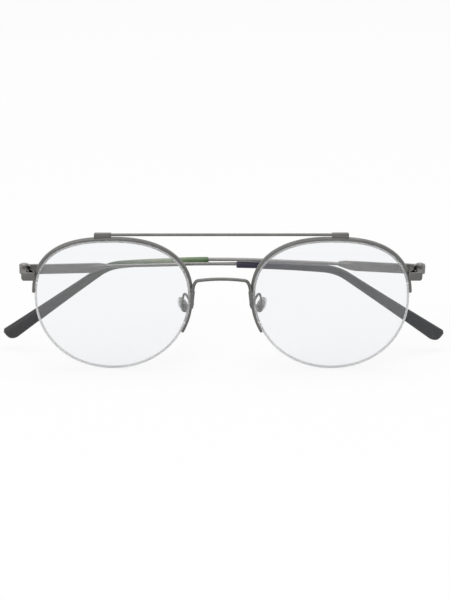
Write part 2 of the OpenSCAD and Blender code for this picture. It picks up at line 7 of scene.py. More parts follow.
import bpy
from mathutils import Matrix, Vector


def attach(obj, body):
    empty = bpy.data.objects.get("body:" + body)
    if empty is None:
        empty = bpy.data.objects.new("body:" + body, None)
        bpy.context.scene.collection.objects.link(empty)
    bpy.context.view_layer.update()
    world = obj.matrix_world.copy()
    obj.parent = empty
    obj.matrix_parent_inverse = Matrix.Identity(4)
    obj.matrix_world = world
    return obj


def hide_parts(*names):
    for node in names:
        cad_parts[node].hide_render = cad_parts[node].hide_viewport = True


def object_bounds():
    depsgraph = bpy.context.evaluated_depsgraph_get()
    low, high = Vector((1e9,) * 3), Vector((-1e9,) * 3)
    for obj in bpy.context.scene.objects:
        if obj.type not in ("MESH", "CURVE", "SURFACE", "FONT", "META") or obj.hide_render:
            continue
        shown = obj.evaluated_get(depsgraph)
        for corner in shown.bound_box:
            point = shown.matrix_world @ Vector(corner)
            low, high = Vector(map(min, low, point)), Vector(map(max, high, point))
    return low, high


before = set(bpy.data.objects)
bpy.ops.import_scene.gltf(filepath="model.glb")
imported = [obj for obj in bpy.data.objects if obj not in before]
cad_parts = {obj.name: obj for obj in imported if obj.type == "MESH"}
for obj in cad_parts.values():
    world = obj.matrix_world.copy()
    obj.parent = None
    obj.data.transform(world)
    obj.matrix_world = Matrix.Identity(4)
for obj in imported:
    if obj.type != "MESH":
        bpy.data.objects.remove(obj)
cad_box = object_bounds()

# %%
from math import asin, atan, copysign, cos, degrees, floor, pi, radians, sin, sqrt

import bmesh
import bpy
from mathutils import Matrix, Vector

MM = 0.001

# %% [markdown]
# ## Camera
# The picture was taken almost straight from the front and a little from above, with a long lens.
# The focal length and the small shift come from matching the lens edges, the tips and the hinges.

# %% Camera
IMAGE_WIDTH, IMAGE_HEIGHT, SENSOR = 450, 600, 36.0
camera_distance, azimuth, elevation, roll = 0.9, radians(-1.0), radians(16.74), radians(-0.29)
focal_pixels, middle_x, middle_y = 2848.0, 221.6, 306.4
forward = Vector((sin(azimuth) * cos(elevation), cos(azimuth) * cos(elevation), -sin(elevation)))
level = Vector((cos(azimuth), -sin(azimuth), 0))
upward = level.cross(forward)
right = cos(roll) * level + sin(roll) * upward
up = -sin(roll) * level + cos(roll) * upward
camera = bpy.data.objects.new("camera", bpy.data.cameras.new("camera"))
camera.data.sensor_width = SENSOR
camera.data.lens = focal_pixels / IMAGE_HEIGHT * SENSOR
camera.data.shift_x = (IMAGE_WIDTH / 2 - middle_x) / IMAGE_HEIGHT
camera.data.shift_y = (middle_y - IMAGE_HEIGHT / 2) / IMAGE_HEIGHT
camera.matrix_world = Matrix.Translation(-forward * camera_distance) @ Matrix(
    (right, up, -forward)).transposed().to_4x4()
bpy.context.scene.collection.objects.link(camera)
bpy.context.scene.camera = camera
print("camera lens, mm:", round(camera.data.lens, 1))

# %% [markdown]
# ## Materials
# The metals and the sleeves have a soft noise in the object's own space that varies the colour, and
# a finer one that varies the roughness and gives the bump, so that they don't look like flat paint.
# The pads and the ground lens edge have the soft noise alone. The lens and the nylon are plain.

# %% Material helper
def new_finish(name, **sockets):
    """A material with one shader, whose constant sockets are set directly."""
    finish = bpy.data.materials.new(name)
    finish.use_nodes = True
    shader = finish.node_tree.nodes["Principled BSDF"]
    for socket, value in sockets.items():
        shader.inputs[socket.replace("_", " ")].default_value = value
    return finish, finish.node_tree, shader


def object_noise(tree, scale, stretch=(1, 1, 1), detail=3.0, turn=(0, 0, 0)):
    """Noise in the object's own space; scale counts waves per metre before the stretch."""
    place = tree.nodes.new("ShaderNodeTexCoord")
    mapping = tree.nodes.new("ShaderNodeMapping")
    mapping.inputs["Scale"].default_value = stretch
    mapping.inputs["Rotation"].default_value = turn
    noise = tree.nodes.new("ShaderNodeTexNoise")
    noise.inputs["Scale"].default_value = scale
    noise.inputs["Detail"].default_value = detail
    tree.links.new(place.outputs["Object"], mapping.inputs["Vector"])
    tree.links.new(mapping.outputs["Vector"], noise.inputs["Vector"])
    return noise.outputs["Fac"]


def ramp(tree, value, stops):
    """Colours along a value; stops are (position, (r, g, b))."""
    node = tree.nodes.new("ShaderNodeValToRGB")
    elements = node.color_ramp.elements
    while len(elements) < len(stops):
        elements.new(0.5)
    for element, (position, colour) in zip(elements, stops):
        element.position = position
        element.color = (*colour, 1)
    tree.links.new(value, node.inputs["Fac"])
    return node.outputs["Color"]


def spread(tree, value, low, high):
    """Maps the useful middle of a noise to a range of numbers."""
    node = tree.nodes.new("ShaderNodeMapRange")
    node.inputs["From Min"].default_value = 0.3
    node.inputs["From Max"].default_value = 0.7
    node.inputs["To Min"].default_value = low
    node.inputs["To Max"].default_value = high
    tree.links.new(value, node.inputs["Value"])
    return node.outputs["Result"]


def add_bump(tree, shader, height, distance):
    bump = tree.nodes.new("ShaderNodeBump")
    bump.inputs["Strength"].default_value = 1.0
    bump.inputs["Distance"].default_value = distance
    tree.links.new(height, bump.inputs["Height"])
    tree.links.new(bump.outputs["Normal"], shader.inputs["Normal"])


# %% [markdown]
# The frame metal is a matt dark grey plating with a very fine blasted grain. The temple blades and
# the springy wires are the same family, a little lighter and brushed along their length.

# %% Metals
def make_metal(name, dark, light, roughness, grain, stretch=(1, 1, 1), metallic=0.9, depth=3e-6):
    """A plating that clouds between two greys; grain is its finest noise, in waves per metre."""
    finish, tree, shader = new_finish(name, Metallic=metallic)
    cloud = object_noise(tree, 260.0)
    fine = object_noise(tree, grain, stretch, 2.0)
    tree.links.new(ramp(tree, cloud, [(0.35, dark), (0.65, light)]), shader.inputs["Base Color"])
    tree.links.new(spread(tree, fine, roughness - 0.05, roughness + 0.05), shader.inputs["Roughness"])
    add_bump(tree, shader, fine, depth)
    return finish


gunmetal = make_metal("gunmetal", (0.132, 0.131, 0.126), (0.154, 0.152, 0.147), 0.4, 9000.0, metallic=0.85)
blade_metal = make_metal("blade_metal", (0.19, 0.187, 0.18), (0.22, 0.216, 0.207), 0.36, 6000.0,
                         stretch=(0.05, 1, 1), metallic=0.7)
bare_metal = make_metal("bare_metal", (0.17, 0.168, 0.162), (0.205, 0.2, 0.194), 0.3, 6000.0,
                        stretch=(0.06, 1, 1))
arm_metal = make_metal("arm_metal", (0.13, 0.128, 0.122), (0.16, 0.157, 0.15), 0.3, 6000.0)
screw_steel = make_metal("screw_steel", (0.30, 0.295, 0.285), (0.38, 0.372, 0.36), 0.25, 5000.0)
print("metals made")

# %% [markdown]
# The lens is a plain clear plastic that bends and reflects light as glass does. The pads are the
# same kind of plastic, softer and a little cloudy. The ground edge of the lens is matt white and
# mostly see-through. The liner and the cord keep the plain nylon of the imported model.

# %% Clear plastics
LENS_INDEX, PAD_INDEX = 1.59, 1.45
clear_lens, _, _ = new_finish("clear_lens", Base_Color=(0.925, 0.93, 0.945, 1), Roughness=0.0,
                              IOR=LENS_INDEX, Transmission_Weight=1.0)
clear_pad, pad_tree, pad_shader = new_finish("clear_pad", Roughness=0.28, IOR=PAD_INDEX,
                                             Transmission_Weight=0.78)
pad_tree.links.new(ramp(pad_tree, object_noise(pad_tree, 700.0),
                        [(0.3, (0.80, 0.81, 0.80)), (0.7, (0.90, 0.90, 0.89))]),
                   pad_shader.inputs["Base Color"])
ground_edge, edge_tree, edge_shader = new_finish("ground_edge", Roughness=0.6, Alpha=0.12)
edge_tree.links.new(ramp(edge_tree, object_noise(edge_tree, 500.0),
                         [(0.3, (0.96, 0.96, 0.96)), (0.7, (0.99, 0.99, 0.99))]),
                    edge_shader.inputs["Base Color"])
nylon = bpy.data.materials["nylon"]
print("lens index", LENS_INDEX)

# %% [markdown]
# The sleeves are satin moulded plastic whose colour changes along their length: one starts navy,
# the other starts bottle green and turns sage, and both end almost black at the tips. The colour
# runs along X, because the folded sleeves lie along X.

# %% Sleeve plastics
def make_sleeve(name, stops):
    """Colour stops are (x in millimetres, colour), from the sleeve's left end to its right end."""
    finish, tree, shader = new_finish(name, IOR=1.5)
    place = tree.nodes.new("ShaderNodeTexCoord")
    apart = tree.nodes.new("ShaderNodeSeparateXYZ")
    tree.links.new(place.outputs["Object"], apart.inputs["Vector"])
    first, last = stops[0][0], stops[-1][0]
    along = tree.nodes.new("ShaderNodeMapRange")
    along.inputs["From Min"].default_value = first * MM
    along.inputs["From Max"].default_value = last * MM
    tree.links.new(apart.outputs["X"], along.inputs["Value"])
    colour = ramp(tree, along.outputs["Result"],
                  [((x - first) / (last - first), shade) for x, shade in stops])
    mottle = ramp(tree, object_noise(tree, 400.0), [(0.3, (0.86, 0.86, 0.86)), (0.7, (1, 1, 1))])
    mix = tree.nodes.new("ShaderNodeMix")
    mix.data_type, mix.blend_type = "RGBA", "MULTIPLY"
    mix.inputs["Factor"].default_value = 1.0
    tree.links.new(colour, mix.inputs[6])
    tree.links.new(mottle, mix.inputs[7])
    tree.links.new(mix.outputs[2], shader.inputs["Base Color"])
    fine = object_noise(tree, 5000.0)
    tree.links.new(spread(tree, fine, 0.34, 0.46), shader.inputs["Roughness"])
    add_bump(tree, shader, fine, 4e-6)
    return finish


sleeve_navy = make_sleeve("sleeve_navy", [
    (5, (0.020, 0.017, 0.045)), (15, (0.024, 0.022, 0.045)), (24, (0.045, 0.045, 0.055)),
    (38, (0.05, 0.055, 0.052)), (58, (0.038, 0.041, 0.043)), (66, (0.034, 0.036, 0.04)),
    (74, (0.026, 0.024, 0.03))])
sleeve_green = make_sleeve("sleeve_green", [
    (-70, (0.022, 0.022, 0.024)), (-58, (0.026, 0.026, 0.03)), (-44, (0.06, 0.068, 0.062)),
    (-34, (0.085, 0.12, 0.085)), (-26, (0.2, 0.235, 0.16)), (-18, (0.32, 0.37, 0.26)),
    (-11, (0.17, 0.25, 0.125)), (-5, (0.08, 0.15, 0.055))])
pad_metal = make_metal("pad_core", (0.30, 0.295, 0.285), (0.4, 0.39, 0.38), 0.4, 7000.0, metallic=0.6)
print("sleeves made")

# %% [markdown]
# ## The way the pieces are made
# Most of a pair of glasses is bar or wire. It is easiest to draw such a piece out straight, as a
# ring of edges pulled along Z, and then to bend it: a small function says where each of its points
# goes round the lens, along the bridge or down the temple.

# %% Straight bars
def draw_out(bm, ring, stations):
    """Pulls a ring of edges along Z from station to station and closes both ends."""
    verts = list({v for e in ring for v in e.verts})
    bmesh.ops.translate(bm, verts=verts, vec=(0, 0, stations[0]))
    last = ring
    for here, there in zip(stations, stations[1:]):
        made = bmesh.ops.extrude_edge_only(bm, edges=last)["geom"]
        fresh = {g for g in made if isinstance(g, bmesh.types.BMVert)}
        last = [g for g in made if isinstance(g, bmesh.types.BMEdge) and all(v in fresh for v in g.verts)]
        bmesh.ops.translate(bm, verts=list(fresh), vec=(0, 0, there - here))
    return ring, last


def round_bar(stations, sides):
    """A closed round bar of radius 1 along Z."""
    bm = bmesh.new()
    bmesh.ops.create_circle(bm, segments=sides, radius=1)
    for ring in draw_out(bm, bm.edges[:], stations):
        bmesh.ops.edgeloop_fill(bm, edges=ring)
    return bm


def shaped_bar(corners, stations):
    """A closed bar along Z; corners are (x, y, radius of the rounding)."""
    bm = bmesh.new()
    verts = [bm.verts.new((x, y, 0)) for x, y, _ in corners]
    bm.faces.new(verts)
    for vert, (_, _, radius) in zip(verts, corners):
        if radius:
            bmesh.ops.bevel(bm, geom=[vert], offset=radius, segments=4, profile=0.5,
                            affect="VERTICES", material=-1)
    bmesh.ops.delete(bm, geom=bm.faces[:], context="FACES_ONLY")
    for ring in draw_out(bm, bm.edges[:], stations):
        bmesh.ops.edgeloop_fill(bm, edges=ring)
    return bm


def bend(bm, place):
    """Moves every point of a straight piece: place takes its station and its two sides."""
    for vert in bm.verts:
        vert.co = place(vert.co.z, vert.co.x, vert.co.y)
    return bm


def steps(first, last, count):
    return [first + (last - first) * i / count for i in range(count + 1)]


# %% Small parts of a piece
def add_box(bm, low, high, rounding=0.0):
    verts = bmesh.ops.create_cube(bm, size=1)["verts"]
    bmesh.ops.scale(bm, verts=verts, vec=Vector(high) - Vector(low))
    bmesh.ops.translate(bm, verts=verts, vec=(Vector(high) + Vector(low)) / 2)
    if rounding:
        edges = list({e for v in verts for e in v.link_edges})
        bmesh.ops.bevel(bm, geom=edges, offset=rounding, segments=2, profile=0.5, affect="EDGES",
                        material=-1)
    return bm


def add_cylinder(bm, radius, low, high, turned=None):
    """A round pin between two levels, along Z or turned to lie along another axis."""
    verts = bmesh.ops.create_cone(bm, cap_ends=True, segments=40, radius1=radius, radius2=radius,
                                  depth=high - low)["verts"]
    bmesh.ops.translate(bm, verts=verts, vec=(0, 0, (low + high) / 2))
    if turned:
        bmesh.ops.rotate(bm, verts=verts, cent=(0, 0, 0), matrix=Matrix.Rotation(pi / 2, 3, turned))
    return verts


def join(bm, other):
    """Adds the whole of another bmesh to this one."""
    mesh = bpy.data.meshes.new("joined")
    other.to_mesh(mesh)
    other.free()
    bm.from_mesh(mesh)
    bpy.data.meshes.remove(mesh)
    return bm


# %% [markdown]
# A finished piece is turned the right way out, made metres, mirrored for the left side where it is
# one of a pair, and told which body carries it; the plain node it stands for is hidden.

# %% Finishing a piece
LEFT, RIGHT = -1, 1
SIDE_NAMES = {LEFT: "left", RIGHT: "right"}


def finish_piece(bm, name, body, finishes, nodes, side=RIGHT, sharp=38):
    """Makes the object; edges sharper than the angle sharp stay crisp."""
    bmesh.ops.scale(bm, verts=bm.verts, vec=(side * MM, MM, MM))
    bmesh.ops.recalc_face_normals(bm, faces=bm.faces)
    mesh = bpy.data.meshes.new(name)
    bm.to_mesh(mesh)
    bm.free()
    mesh.shade_smooth()
    mesh.set_sharp_from_angle(angle=radians(sharp))
    for finish in finishes:
        mesh.materials.append(finish)
    piece = bpy.data.objects.new(name, mesh)
    bpy.context.scene.collection.objects.link(piece)
    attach(piece, body)
    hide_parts(*nodes)
    return piece


def pair(make, part, finishes, body="front", sharp=38):
    """Makes the right piece, and the left one as its mirror image."""
    for side, word in SIDE_NAMES.items():
        carrier = body if body == "front" else body + "_" + word
        finish_piece(make(), part + "_" + word + "_made", carrier, finishes,
                     [part + "_" + word], side, sharp)
    print(part, "made for both sides")


# %% [markdown]
# ## The lens outline
# The lens is 49 mm wide and 42 mm high. Its widest level lies a little over the middle, its lower
# half is nearly an ellipse and its upper half is squarer, more so on the outer side. The front is
# part of a large sphere. Rim, liner, cord and lens are all bent round this same outline, so they
# seat on each other.

# %% Outline
half_width, half_height, lens_gap, waist_height = 24.7, 21.05, 19.8, 2.75
lens_thickness, front_radius = 1.9, 130.0
lens_x = lens_gap / 2 + half_width
nose_edge_x, outer_edge_x = lens_gap / 2, lens_gap / 2 + 2 * half_width
edge_depth = front_radius - sqrt(front_radius ** 2 - half_width ** 2)
top_depth = front_radius - sqrt(front_radius ** 2 - half_height ** 2)
UPPER_OUTER_POWER, UPPER_INNER_POWER, LOWER_OUTER_POWER, LOWER_INNER_POWER = 2.51, 2.29, 2.1, 2.06


def outline_radius(angle, grow):
    """Distance from the middle of the widest level to the lens edge."""
    c, s = cos(radians(angle)), sin(radians(angle))
    if s > 0:
        power, half = UPPER_OUTER_POWER if c > 0 else UPPER_INNER_POWER, half_height - waist_height
    else:
        power, half = LOWER_OUTER_POWER if c > 0 else LOWER_INNER_POWER, half_height + waist_height
    return ((abs(c) / (half_width + grow)) ** power + (abs(s) / (half + grow)) ** power) ** (-1 / power)


def round_lens(angle, radius, depth):
    """A point at an angle and a distance from the widest level's middle, behind the front."""
    x, z = radius * cos(radians(angle)), waist_height + radius * sin(radians(angle))
    return Vector((lens_x + x, front_radius - sqrt((front_radius - depth) ** 2 - x * x - z * z), z))


def round_edge(angle, outwards, depth):
    return round_lens(angle, outline_radius(angle, outwards), depth)


print("lens edge depth", round(edge_depth, 2), "top depth", round(top_depth, 2))

# %% [markdown]
# ## Lenses
# One ring is drawn through the whole profile: from the middle of the front out to the edge, over
# a small polished bevel, into the groove that the nylon lies in, and back to the middle behind.
# The edge and the groove are ground, not polished, so those faces get the matt white finish.

# %% Lens
groove_width, groove_depth, bevel_size, lens_rings, lens_sides = 0.6, 0.8, 0.1, 26, 240
groove_front = (lens_thickness - groove_width) / 2
groove_back = groove_front + groove_width
shares = steps(0, 1, lens_rings)
profile = [(share, -bevel_size, 0.0) for share in shares]
ground_from = len(profile)
profile += [(1, 0, bevel_size), (1, 0, groove_front), (1, -groove_depth, groove_front),
            (1, -groove_depth, groove_back), (1, 0, groove_back), (1, 0, lens_thickness - bevel_size)]
ground_to = len(profile) - 1
profile += [(share, -bevel_size, lens_thickness) for share in reversed(shares)]


def make_lens():
    bm = bmesh.new()
    bmesh.ops.create_circle(bm, segments=lens_sides, radius=1)
    first, last = draw_out(bm, bm.edges[:], list(range(len(profile))))
    for face in bm.faces:
        face.material_index = int(ground_from < face.calc_center_median().z < ground_to)

    def place(station, x, y):
        share, outwards, depth = profile[round(station)]
        angle = degrees(asin(max(-1, min(1, y)))) if x >= 0 else 180 - degrees(asin(max(-1, min(1, y))))
        return round_lens(angle, outline_radius(angle, outwards) * share, depth)

    bend(bm, place)
    for ring, depth in ((first, 0.0), (last, lens_thickness)):
        middle = list({v for e in ring for v in e.verts})
        bmesh.ops.pointmerge(bm, verts=middle, merge_co=round_lens(0, 0, depth))
    return bm


pair(make_lens, "lens", [clear_lens, ground_edge], sharp=30)

# %% [markdown]
# ## Rims, liners and cords
# The rim is a bar with rounded edges and a groove inside. It runs from just under the end piece,
# over the top, to low on the nose side, where it ends rounded. A thin nylon liner fills its groove.
# Below, a flat nylon cord runs from end to end in the lens groove and holds the lens up.

# %% Rim
rim_band, rim_step, rim_groove, rim_round = 0.82, 0.1, 0.45, 0.26
rim_start, rim_end, rim_stations, cap_stations = 3.0, 208.0, 160, 6
rim_inner_round, rim_end_depth_share = 0.16, 0.6


def rim_angles():
    cap = degrees(rim_band / 2 / half_width)
    low = [rim_start - cap * cos(radians(90 * i / cap_stations)) for i in range(cap_stations)]
    high = [rim_end + cap * sin(radians(90 * i / cap_stations)) for i in range(1, cap_stations + 1)]
    return low + steps(rim_start, rim_end, rim_stations) + high


def make_rim():
    # Sides of the bar: outwards from the lens edge, and depth behind the lens front.
    outer, back, inner_round = rim_band, lens_thickness, rim_inner_round
    bm = shaped_bar([(outer, -rim_step, rim_round), (outer, back, rim_round), (0, back, inner_round),
                     (0, groove_back, 0), (rim_groove, groove_back, 0), (rim_groove, groove_front, 0),
                     (0, groove_front, 0), (0, -rim_step, inner_round)], rim_angles())
    cap = degrees(rim_band / 2 / half_width)
    middle_depth = (lens_thickness - rim_step) / 2

    def place(angle, outwards, depth):
        beyond = max(rim_start - angle, angle - rim_end, 0) / cap
        share = sqrt(max(1 - beyond ** 2, 0.02))
        outwards = rim_band / 2 + (outwards - rim_band / 2) * share
        depth = middle_depth + (depth - middle_depth) * (
            rim_end_depth_share + (1 - rim_end_depth_share) * share)
        return round_edge(angle, outwards, depth)

    return bend(bm, place)


pair(make_rim, "rim", [gunmetal])

# %% Liner and cord
tuck_angle, liner_gap_angle, play = 6.0, 1.0, 0.01
cord_size, cord_outside, cord_inside, cord_round, liner_round = 0.5, 0.05, 0.75, 0.12, 0.04


def flat_strip(outer, inner, front, back, rounding, angles):
    """A strip that lies in the lens groove, bent round the outline."""
    return bend(shaped_bar([(inner, front, rounding), (inner, back, rounding), (outer, back, rounding),
                            (outer, front, rounding)], angles), round_edge)


def make_liner():
    first, last = rim_start + tuck_angle + liner_gap_angle, rim_end - tuck_angle - liner_gap_angle
    return flat_strip(rim_groove - play, play - groove_depth, groove_front + play, groove_back - play,
                      liner_round, steps(first, last, 150))


def make_cord():
    front = (lens_thickness - cord_size) / 2
    return flat_strip(cord_outside, -cord_inside, front, front + cord_size, cord_round,
                      steps(rim_end - tuck_angle, rim_start + tuck_angle + 360, 150))


pair(make_liner, "rim_liner", [nylon])
pair(make_cord, "nylon_cord", [nylon])

# %% [markdown]
# ## Upper bar and its blocks
# A straight round bar joins the two rims above the bridge. At each end it is soldered into a small
# block whose outer top corner is rounded. The block is drawn along X; its lower side follows the
# rim at a hair's distance, as the solder joint shows, and a narrower foot goes down into the rim.

# %% Upper bar
bar_diameter, bar_clearance, block_start, block_length = 0.9, 0.45, 0.15, 5.4
block_rise, block_depth, block_corner, joint_line = 0.6, 1.4, 0.5, 0.07
bar_share, block_low_round, block_top_round, block_end_round = 0.6, 0.14, 0.2, 0.08
bar_height = half_height + rim_band + bar_clearance + bar_diameter / 2
bar_depth = top_depth + lens_thickness / 2 - rim_step
bar_reach = lens_x + block_start + block_length * bar_share
bm = round_bar([-bar_reach, 0, bar_reach], 40)
bend(bm, lambda station, x, y: Vector((station, bar_depth + x * bar_diameter / 2,
                                       bar_height + y * bar_diameter / 2)))
finish_piece(bm, "top_bar_made", "front", [gunmetal], ["top_bar"])
print("upper bar length", round(2 * bar_reach, 1))

# %% Blocks
def rim_top(x):
    """Height of the top of the rim at a place across the lens."""
    share = abs(x - lens_x) / (half_width + rim_band)
    power = UPPER_OUTER_POWER if x > lens_x else UPPER_INNER_POWER
    half = half_height - waist_height + rim_band
    return waist_height + half * (1 - share ** power) ** (1 / power)


def soften_ends(bm, size, low, high):
    """Rounds the edges round both end faces of a drawn bar."""
    ends = [e for e in bm.edges if abs(e.verts[0].co.z - e.verts[1].co.z) < 1e-6
            and min(abs(e.verts[0].co.z - low), abs(e.verts[0].co.z - high)) < 1e-6]
    bmesh.ops.bevel(bm, geom=ends, offset=size, segments=3, profile=0.5, affect="EDGES", material=-1)


def make_block():
    first, last = lens_x + block_start, lens_x + block_start + block_length
    height = bar_height + block_rise - rim_top(first)
    bm = shaped_bar([(-block_depth / 2, 0, block_low_round), (block_depth / 2, 0, block_low_round),
                     (block_depth / 2, height, block_top_round),
                     (-block_depth / 2, height, block_top_round)],
                    steps(first, last - block_corner, 6)
                    + [last - block_corner * (1 - sin(radians(a))) for a in range(15, 91, 15)])
    soften_ends(bm, block_end_round, first, last)

    def place(x, y, z):
        low = rim_top(x) + joint_line
        high = bar_height + block_rise
        past = max(x - last + block_corner, 0)
        high -= block_corner - sqrt(max(block_corner ** 2 - past ** 2, 0))
        return Vector((x, bar_depth + y, low + z / height * (high - low)))

    bend(bm, place)
    foot_margin, foot_sink, foot_count = 0.22, 0.3, 3
    for x in steps(first + foot_margin, last - foot_margin, foot_count)[:-1]:
        wide = (block_length - 2 * foot_margin) / foot_count
        add_box(bm, (x, bar_depth - block_depth / 2 + foot_margin, rim_top(x + wide) - foot_sink),
                (x + wide, bar_depth + block_depth / 2 - foot_margin, rim_top(x + wide) + foot_sink))
    return bm


pair(make_block, "bar_block", [gunmetal])

# %% [markdown]
# ## Lower bridge
# The bridge is one wire: a shallow arch, a tight corner at each side and a leg that runs down into
# a small sleeve on the rim. A path is drawn first and the round bar is bent along it.

# %% Bending along a path
def follow(path, side, radius_across, radius_side=None):
    """Says where the points of a round bar go along a path; side is square to the path."""
    radius_side = radius_side or radius_across
    count = len(path) - 1

    def place(station, x, y):
        i = min(floor(station), count - 1)
        here = path[i].lerp(path[i + 1], station - i)
        direction = (path[min(i + 1, count)] - path[max(i - 1, 0)]) if station == i else (
            path[i + 1] - path[i])
        if station == count:
            direction = path[count] - path[count - 1]
        across = direction.cross(side).normalized()
        return here + across * radius_across * x + side.normalized() * radius_side * y

    return place


def wire(path, side, radius, sides=20):
    return bend(round_bar(list(range(len(path))), sides), follow(path, side, radius))


# %% Bridge
bridge_diameter, bridge_height, arch_rise, bridge_clearance = 1.05, 8.5, 0.45, 0.15
corner_inwards, leg_inwards, leg_top_inwards, leg_top_drop, leg_end_rise = 1.85, 0.6, 0.9, 3.1, 0.9
corner_x, leg_x = nose_edge_x - corner_inwards, nose_edge_x - leg_inwards
leg_top = Vector((nose_edge_x - leg_top_inwards, 0, bridge_height - leg_top_drop))
bridge_depth = edge_depth - rim_step - bridge_clearance - bridge_diameter / 2
ferrule_width, ferrule_height, ferrule_wall, ferrule_drop = 1.65, 5.2, 0.2, 4.3
ferrule_top = bridge_height - ferrule_drop
ferrule_bottom = ferrule_top - ferrule_height


def bridge_half():
    """Right half of the bridge: arch, corner and leg."""
    arch_end = corner_x - bridge_diameter
    low = bridge_height - arch_rise
    points = [Vector((x, 0, bridge_height - arch_rise * (x / arch_end) ** 2))
              for x in steps(0, arch_end, 24)]
    a, b = Vector((arch_end, 0, low)), Vector((corner_x + bridge_diameter / 2, 0, low))
    points += [a.lerp(b, k).lerp(b.lerp(leg_top, k), k) for k in steps(0, 1, 20)[1:]]
    foot = Vector((leg_x, 0, ferrule_top))
    points += [leg_top.lerp(foot, k) for k in steps(0, 1, 4)[1:]]
    points += [Vector((leg_x, 0, ferrule_bottom + leg_end_rise))]
    for point in points:
        point.y = bridge_depth
    return points


half_path = bridge_half()
mirrored = [Vector((-p.x, p.y, p.z)) for p in reversed(half_path[1:])]
finish_piece(wire(mirrored + half_path, Vector((0, 1, 0)), bridge_diameter / 2, 24),
             "bridge_made", "front", [gunmetal], ["bridge"])
print("bridge points", len(mirrored + half_path))

# %% [markdown]
# The sleeve that joins a bridge leg to the rim leans with the rim. It is drawn from its front view,
# pulled back past the rim, and its points that would lie in the lens are drawn back to the edge.

# %% Ferrules
ferrule_inwards, ferrule_lean, ferrule_corner, ferrule_back_gap = 1.45, 0.5, 0.5, 0.6
ferrule_inner_x = nose_edge_x - ferrule_inwards
ferrule_top_round, ferrule_low_round, ferrule_rim_round = 0.22, 0.2, 0.25


def nose_side(z):
    """Where the lens edge lies on the nose side at a height."""
    half = half_height + (waist_height if z < waist_height else -waist_height)
    power = LOWER_INNER_POWER if z < waist_height else UPPER_INNER_POWER
    return lens_x - half_width * (1 - (abs(z - waist_height) / half) ** power) ** (1 / power)


def make_ferrule():
    front = bridge_depth - bridge_diameter / 2 - ferrule_wall
    back = edge_depth + lens_thickness - ferrule_back_gap
    x, z, lean, corner = ferrule_inner_x, ferrule_bottom, ferrule_lean, ferrule_corner
    bm = shaped_bar([(x, z + ferrule_height, ferrule_top_round), (x + lean, z + corner, ferrule_low_round),
                     (x + lean + corner, z, ferrule_low_round),
                     (x + ferrule_width + lean, z, ferrule_rim_round),
                     (x + ferrule_width, z + ferrule_height, ferrule_rim_round)], [front, back])
    soften_ends(bm, ferrule_top_round, front, back)
    bend(bm, lambda y, x, z: Vector((x, y, z)))
    for cut in steps(ferrule_bottom, ferrule_top, 8)[1:-1]:
        bmesh.ops.bisect_plane(bm, geom=bm.verts[:] + bm.edges[:] + bm.faces[:],
                               plane_co=(0, 0, cut), plane_no=(0, 0, 1))
    for vert in bm.verts:
        vert.co.x = min(vert.co.x, nose_side(vert.co.z) - play)
    return bm


pair(make_ferrule, "bridge_ferrule", [gunmetal])

# %% [markdown]
# ## End pieces
# Each end piece is a strip soldered to the front of the rim and bent back at the outer corner into
# a leg that carries the hinge. It is drawn as a plan and pulled up.

# %% End piece
endpiece_height, endpiece_middle, endpiece_thickness = 2.65, 9.3, 1.2
endpiece_forward, endpiece_reach, endpiece_overlap = 0.95, 4.1, 0.3
endpiece_front, endpiece_outer_x = edge_depth - endpiece_forward, outer_edge_x + endpiece_reach
plan_corner, low_corner, leg_width, edge_round = 0.9, 0.9, 1.7, 0.14
joint_round, leg_round, inner_corner = 0.1, 0.12, 0.3
hinge_out, hinge_depth, knuckle_radius, leg_gap = 3.65, 9.2, 1.6, 0.15
hinge_x = outer_edge_x + hinge_out
plate_gap, plate_thickness, blade_thickness = 0.2, 0.25, 0.9
blade_face = knuckle_radius + plate_gap + plate_thickness
leg_back = hinge_depth - knuckle_radius - leg_gap


def make_endpiece():
    x0, x1 = outer_edge_x - endpiece_overlap, endpiece_outer_x
    y0, y1 = endpiece_front, endpiece_front + endpiece_thickness
    bottom = endpiece_middle - endpiece_height / 2
    corners = [(x0, y0, joint_round), (x1, y0, plan_corner), (x1, leg_back, leg_round),
               (x1 - leg_width, leg_back, leg_round), (x1 - leg_width, y1, inner_corner),
               (x0, y1, joint_round)]
    levels = steps(bottom, bottom + low_corner, 5) + [bottom + endpiece_height]
    bm = shaped_bar(corners, levels)
    soften_ends(bm, edge_round, levels[0], levels[-1])
    for vert in bm.verts:
        # The low outer corner of the front is rounded off.
        past = vert.co.x - (x1 - low_corner)
        if past > 0 and vert.co.y < y1 and vert.co.z < bottom + low_corner:
            rise = low_corner - (vert.co.z - bottom)
            vert.co.x = min(vert.co.x, x1 - low_corner + sqrt(max(low_corner ** 2 - rise ** 2, 0)))
    return bm


pair(make_endpiece, "endpiece", [gunmetal])

# %% [markdown]
# ## Hinges
# The barrel is three knuckles on one screw. The outer two belong to the front, on a leaf that is
# soldered beside the leg of the end piece, and the middle one to the temple. Their edges are broken
# a little, as tumbled hinge parts are, and the screw's low round head has a slot.

# %% Hinge parts
barrel_height, barrel_rise, hinge_play, screw_diameter, foot_half = 2.8, 0.55, 0.05, 1.0, 0.8
hinge_bottom = endpiece_middle + barrel_rise - barrel_height / 2
knuckle_height = (barrel_height - 2 * hinge_play) / 3
leaf_reach, leaf_thickness, leaf_round = 2.0, 0.55, 0.06
knuckle_round, foot_depth = 0.12, knuckle_radius * 0.75
front_bore, temple_bore = screw_diameter + 0.02, screw_diameter + 0.1


